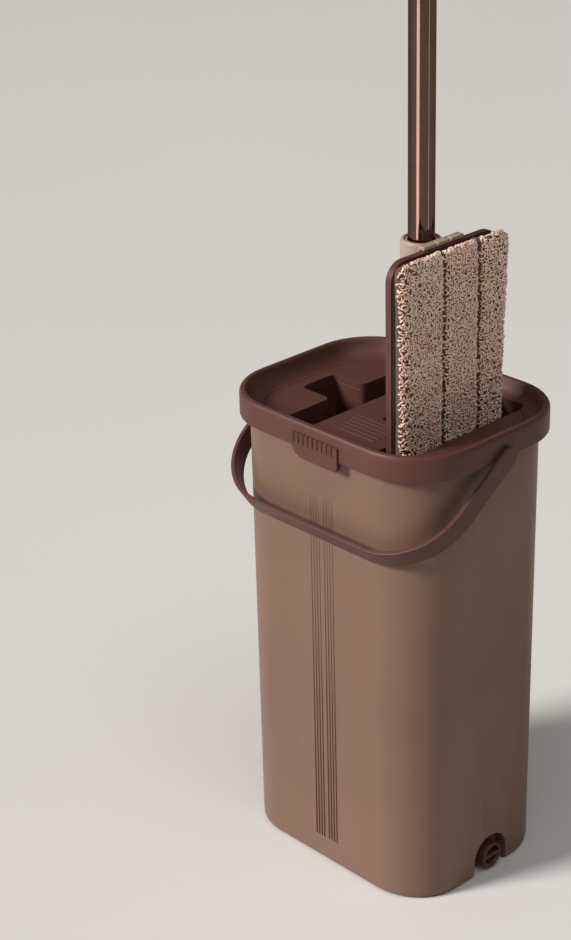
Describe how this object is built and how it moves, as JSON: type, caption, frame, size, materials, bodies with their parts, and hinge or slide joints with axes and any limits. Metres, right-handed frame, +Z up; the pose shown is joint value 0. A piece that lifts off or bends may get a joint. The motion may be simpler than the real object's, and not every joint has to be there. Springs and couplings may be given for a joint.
{
  "type": "flat mop with wringing bucket",
  "caption": "Flat microfibre mop standing in its tall wringing bucket with wash and wring slots, a swing bail, a drain plug and a swivel head.",
  "frame": {"origin": "middle of the tub's flat base, on the floor", "axes": "+Z up along the tub and the pole; X along the bail's pivots with the drain on +X; -Y is the front with the hanging bail and the finger tab"},
  "size_m": [0.2188, 0.1756, 1.47],
  "materials": {
    "tub": "satin moulded taupe polypropylene",
    "rim": "satin moulded dark red-brown polypropylene",
    "socket": "satin light taupe plastic",
    "grey_plastic": "matt grey plastic",
    "seal_rubber": "soft dark rubber",
    "grip_rubber": "soft-touch brown rubber",
    "steel": "plain steel",
    "dark_chrome": "polished dark chrome over thin steel tube",
    "hook_tape": "black hook tape",
    "backing": "grey woven backing",
    "microfibre": "heathered beige microfibre loops"
  },
  "bodies": {
    "tub": {"bucket_body": "tub", "drain_seal": "seal_rubber"},
    "plug": {"drain_plug": "rim"},
    "lid": {"rim_collar": "rim", "insert_floor": "rim", "wash_well": "rim", "wring_well": "rim", "scraper_pad": "seal_rubber", "scraper_back_left": "seal_rubber", "scraper_back_right": "seal_rubber", "scrub_strip_pad": "grey_plastic", "scrub_strip_back_left": "grey_plastic", "scrub_strip_back_right": "grey_plastic"},
    "bail": {"bail_handle": "rim", "bail_ring_left": "steel", "bail_ring_right": "steel"},
    "head": {"mop_plate": "rim", "hook_strip_1": "hook_tape", "hook_strip_2": "hook_tape", "hook_strip_3": "hook_tape", "pad_backing": "backing", "mop_pad": "microfibre", "end_clip": "socket", "hinge_bracket": "rim", "bracket_screw_1": "steel", "bracket_screw_2": "steel", "fold_pin": "steel"},
    "yoke": {"yoke_block": "socket", "tilt_pin": "steel"},
    "socket": {"socket": "socket"},
    "pole": {"swivel_ring": "socket", "tube_foot": "socket", "lower_tube": "dark_chrome", "upper_tube": "dark_chrome", "tube_joint": "socket", "grip_sleeve": "grip_rubber", "hanging_cap": "socket"}
  },
  "joints": [
    {"name": "lid_lift", "type": "slide", "parent": "tub", "child": "lid", "axis": [0, 0, 1], "range_m": [0, 0.12]},
    {"name": "bail_swing", "type": "hinge", "parent": "lid", "child": "bail", "pos_m": [0, 0.004, 0.352], "axis": [-1, 0, 0], "range_deg": [0, 75]},
    {"name": "mop_lift", "type": "slide", "parent": "lid", "child": "head", "axis": [0, 0, 1], "range_m": [-0.155, 0.22]},
    {"name": "head_fold", "type": "hinge", "parent": "head", "child": "yoke", "pos_m": [0.0275, 0, 0.3375], "axis": [0, -1, 0], "range_deg": [0, 24]},
    {"name": "head_tilt", "type": "hinge", "parent": "yoke", "child": "socket", "pos_m": [0.0275, 0, 0.3505], "axis": [1, 0, 0], "range_deg": [0, 28]},
    {"name": "pole_swivel", "type": "hinge", "parent": "socket", "child": "pole", "pos_m": [0.0275, 0, 0.495], "axis": [0, 0, 1], "continuous": true},
    {"name": "plug_pull", "type": "slide", "parent": "tub", "child": "plug", "axis": [1, 0, 0], "range_m": [0, 0.03]}
  ]
}
